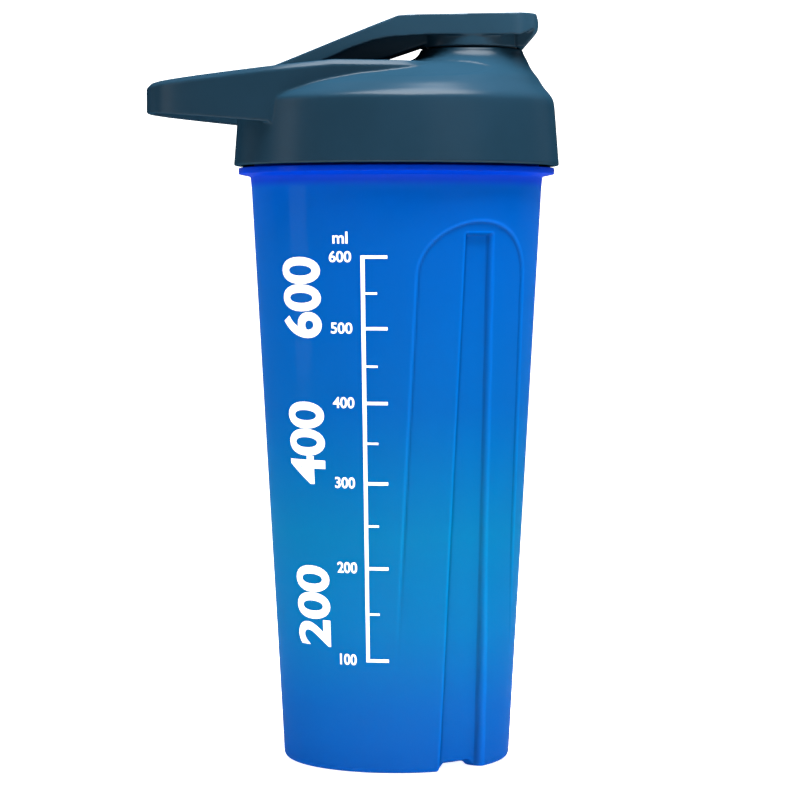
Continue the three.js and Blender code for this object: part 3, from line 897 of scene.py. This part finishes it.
# What is hollowed out under them.
HOLLOW_SIDE = [
    [-34, 205.2],
    [0.4, 218.7],
    [3, 219.15],
    [60, 220.1],
    [60, 200],
    [-34, 190],
]
# The solid block under the hood's front, which the thumb lifts.
WEDGE_SIDE = [
    [35.5, 212.3],
    [37.8, 212.3],
    [41.9, 217],
    [42.3, 218.8],
    [41, 221.5],
    [35.5, 221.5],
]
# One of the two ribs under the arm.
RIB_SIDE = [
    [HINGE_X, 204],
    [HINGE_X, 200.2],
    [-38, 202],
    [-2.8, 209.3],
    [8.5, 213.1],
    [8.5, 220.6],
    [0.4, 220.6],
]
COLLAR_INNER = 13.9
COLLAR_OUTER = 15.5
COLLAR_BOTTOM = 212.3
CAP_ROOF = 220.6  # height up to which pieces run into the hood's roof
CAP_WALL = 2


def bezier(p0, p1, p2, p3):
    """Points along a cubic curve."""
    t = np.linspace(0, 1, 14)[:, None]
    p0, p1, p2, p3 = (np.array(p, float) for p in (p0, p1, p2, p3))
    return (1 - t) ** 3 * p0 + 3 * (1 - t) ** 2 * t * p1 + 3 * (1 - t) * t * t * p2 + t ** 3 * p3


def cap_plan(inset):
    """The cap from above, shrunk by an inset: a narrow arm that widens into the hood."""
    half = CAP_HIGH.y - inset
    neck = 9.2 - inset
    front = CAP_HIGH.x - inset
    side = np.vstack([
        [[HINGE_X - 4, -neck]],
        bezier([-37, -neck], [-27, -neck - 0.5], [-14, -half], [-2, -half]),
        bezier([33, -half], [38, -half], [front - 0.5, -half + 3], [front, 0]),
    ])
    other = side[:-1][::-1] * [1, -1]
    return np.vstack([side, other])


def within_plan(name, side, half_width, inset):
    """A side view extruded across the cap and trimmed to its plan."""
    block = prism(name, side, -half_width, half_width, "XZ")
    return combine(block, prism("plan", cap_plan(inset), 180, 240, "XY"), "INTERSECT")


def make_cap():
    hood = within_plan("hood", HOOD_SIDE, 20, 0)
    combine(hood, within_plan("hollow", HOLLOW_SIDE, 20, CAP_WALL), "DIFFERENCE")
    parts = [hood]
    collar = [[COLLAR_OUTER, COLLAR_BOTTOM], [COLLAR_OUTER, CAP_ROOF], [COLLAR_INNER, CAP_ROOF],
              [COLLAR_INNER, COLLAR_BOTTOM]]
    parts.append(ring_surface("collar", circles(collar, 96, SPOUT_X), closed=True))
    parts += [prism("rib", RIB_SIDE, low, low + 2, "XZ") for low in (-8, 6)]
    wedge = within_plan("wedge", WEDGE_SIDE, 9.5, 0)
    bore = ring_surface("bore", circles([[15, 200], [15, 219]], 96, SPOUT_X))
    parts.append(combine(wedge, bore, "DIFFERENCE"))
    parts.append(rod("knuckle", LUG_RADIUS, -CAP_KNUCKLE, CAP_KNUCKLE, HINGE_X, HINGE_Z))
    cap = moulded(merge("cap_body", parts), 0.3, 3)
    return dress(cap, LID_PLASTIC_LIT_COPY, "cap", "lid_plastic", "flip_cap")


# ------------------------------------------------------------ small pieces


def make_gasket():
    """A flat silicone ring with a groove round the middle of each face."""
    inner, outer = 40.8, GASKET_HIGH.x
    low, high = GASKET_LOW.z, GASKET_HIGH.z
    middle = (inner + outer) / 2
    groove, half_groove = 0.35, 0.7
    profile = rounded([
        [inner, low],
        [middle - half_groove, low],
        [middle, low + groove],
        [middle + half_groove, low],
        [outer, low],
        [outer, high],
        [middle + half_groove, high],
        [middle, high - groove],
        [middle - half_groove, high],
        [inner, high],
    ], 0.3, 3)
    gasket = ring_surface("gasket_ring", circles(profile, 192), closed=True)
    shade_smooth(gasket)
    return dress(gasket, SILICONE, "gasket", "silicone", "lid_gasket")


def make_pin():
    """The hinge rod, with chamfered ends."""
    radius = PIN_HIGH.z - HINGE_Z
    low, high = PIN_LOW.y, PIN_HIGH.y
    chamfer = 0.3
    angle = np.linspace(0, TAU, 48, endpoint=False)
    rings = []
    low_end = [(radius - chamfer, low), (radius, low + chamfer)]
    high_end = [(radius, high - chamfer), (radius - chamfer, high)]
    for r, y in low_end + high_end:
        rings.append(np.stack([HINGE_X + r * np.cos(angle), y + 0 * angle, HINGE_Z + r * np.sin(angle)], 1))
    pin = ring_surface("pin_rod", rings)
    shade_smooth(pin, 40)
    return dress(pin, LID_PLASTIC, "lid", "lid_plastic", "hinge_pin")


def make_plug():
    """A soft cup that fills the spout, with a lead-in, a sealing bead and a rim inside the cap's collar."""
    low, high = PLUG_LOW.z, PLUG_HIGH.z
    body = PLUG_HIGH.x - SPOUT_X
    floor = low + 1.7
    lead_in = [[12.0, low + 0.05], [12.5, low + 0.3], [12.7, low + 0.8], [12.75, low + 1.6]]
    bead = [[12.95, low + 2.0], [12.95, low + 2.5], [13.1, low + 2.9], [13.2, SPOUT_RIM]]
    rim = [[body, SPOUT_RIM + 0.7], [body, high - 0.3], [body - 0.3, high], [body - 1.4, high],
           [body - 1.7, high - 0.3]]
    inside = [[10.9, floor + 0.3], [10.4, floor], [0.5, floor]]
    profile = [[0.5, low], [9, low], *lead_in, *bead, *rim, *inside]
    plug = ring_surface("plug_cup", circles(profile, 128, SPOUT_X))
    shade_smooth(plug, 50)
    return dress(plug, SILICONE, "cap", "silicone", "spout_plug")


def hoop(name, inner, outer, low, high, segments):
    """A ring with a rectangular section."""
    section = [[inner, low], [outer, low], [outer, high], [inner, high]]
    return ring_surface(name, circles(section, segments), closed=True)


def make_grid():
    """A band with a floor of hoops and spokes. Every second spoke starts one hoop further out."""
    outer, inner = GRID_HIGH.x, 38.9
    low, high = GRID_LOW.z, GRID_HIGH.z
    floor = low + 1.7
    half_bar = 0.75
    hoop_radii = (9, 17, 25, 33)
    spokes = 12
    parts = [hoop("band", inner, outer, low, high, 160)]
    parts += [hoop("hoop", radius - half_bar, radius + half_bar, low, floor, 120) for radius in hoop_radii]
    for i in range(spokes):
        start, end = hoop_radii[i % 2], outer - 0.7
        angle = TAU * i / spokes
        along = np.array([math.cos(angle), math.sin(angle)])
        side = np.array([-along[1], along[0]]) * half_bar
        outline = [along * start - side, along * end - side, along * end + side, along * start + side]
        parts.append(prism("spoke", outline, low, floor, "XY"))
    grid = moulded(merge("grid_basket", parts), 0.34, 2)
    return dress(grid, GRID_PLASTIC, "grid", "grid_plastic", "mixing_grid")


# ------------------------------------------------------------ studio


def make_stage():
    """A pale floor that sweeps up into a backdrop behind the object."""
    near, far, half_width, rise, bend = -1.6, 1.6, 2.6, 2.6, 0.6
    gap = 0.0001  # kept under the foot, so that the two faces don't meet
    profile = [[near, 0.0], [far - bend, 0.0]]
    for turn in np.linspace(0, math.pi / 2, 16)[1:]:
        profile.append([far - bend + bend * math.sin(turn), bend * (1 - math.cos(turn))])
    profile.append([far, rise])
    vertices = [[x, y, z - gap] for y, z in profile for x in (-half_width, half_width)]
    faces = [[2 * i, 2 * i + 1, 2 * i + 3, 2 * i + 2] for i in range(len(profile) - 1)]
    floor = add_mesh("studio_sweep", vertices, faces, scale=1.0)
    shade_smooth(floor)
    material, nodes, links, shader = new_material("sweep_white", Roughness=0.9, Emission_Strength=0.95,
                                                  Emission_Color=(1, 1, 1, 1))
    shade = noise(nodes, links, 3.0, 2.0)
    colour = ramp(nodes, links, shade.outputs["Fac"], [(0.3, (0.93, 0.93, 0.93)), (0.7, (0.96, 0.96, 0.96))])
    links.new(colour.outputs["Color"], shader.inputs["Base Color"])
    floor.data.materials.append(material)


def make_light(name, location, target, size, size_y, power):
    """A rectangular softbox that faces its target. Metres and watts."""
    data = bpy.data.lights.new(name, "AREA")
    data.shape = "RECTANGLE"
    data.size = size
    data.size_y = size_y
    data.energy = power
    light = bpy.data.objects.new(name, data)
    light.location = location
    light.rotation_euler = (Vector(target) - Vector(location)).to_track_quat("-Z", "Y").to_euler()
    bpy.context.scene.collection.objects.link(light)


def make_lights():
    """Three softboxes, and a world that is white behind the object but lights it only a little."""
    world = bpy.data.worlds.new("studio")
    world.use_nodes = True
    nodes, links = world.node_tree.nodes, world.node_tree.links
    background = nodes["Background"]
    background.inputs["Color"].default_value = (1, 1, 1, 1)
    path = nodes.new("ShaderNodeLightPath")
    strength = map_range(nodes, links, path.outputs["Is Camera Ray"], 0.15, 1.0)
    links.new(strength.outputs["Result"], background.inputs["Strength"])
    bpy.context.scene.world = world
    bpy.context.scene.view_settings.view_transform = "Standard"
    make_light("top_softbox", (0.05, -0.06, 0.52), (0, 0, 0.2), 0.3, 0.3, 11.0)
    make_light("left_softbox", (-0.9, -0.1, 0.3), (0, 0, 0.15), 0.3, 0.8, 3.0)
    make_light("front_softbox", (0.62, -0.7, 0.34), (0, 0, 0.15), 0.62, 0.5, 0.85)


def make_camera():
    """Level with the bottle's upper third and tipped down a little. Metres and radians."""
    data = bpy.data.cameras.new("camera")
    data.lens = 129.6
    data.sensor_width = 36
    camera = bpy.data.objects.new("camera", data)
    aside, distance, height, down = 0.00105, 0.865, 0.1545, math.radians(3.13)
    camera.location = (aside, -distance, height)
    camera.rotation_euler = (math.pi / 2 - down, 0, 0)
    bpy.context.scene.collection.objects.link(camera)
    bpy.context.scene.camera = camera


make_camera()
make_stage()
make_lights()
make_cup()
make_print()
make_lid()
make_cap()
make_gasket()
make_pin()
make_plug()
make_grid()

bpy.context.view_layer.update()
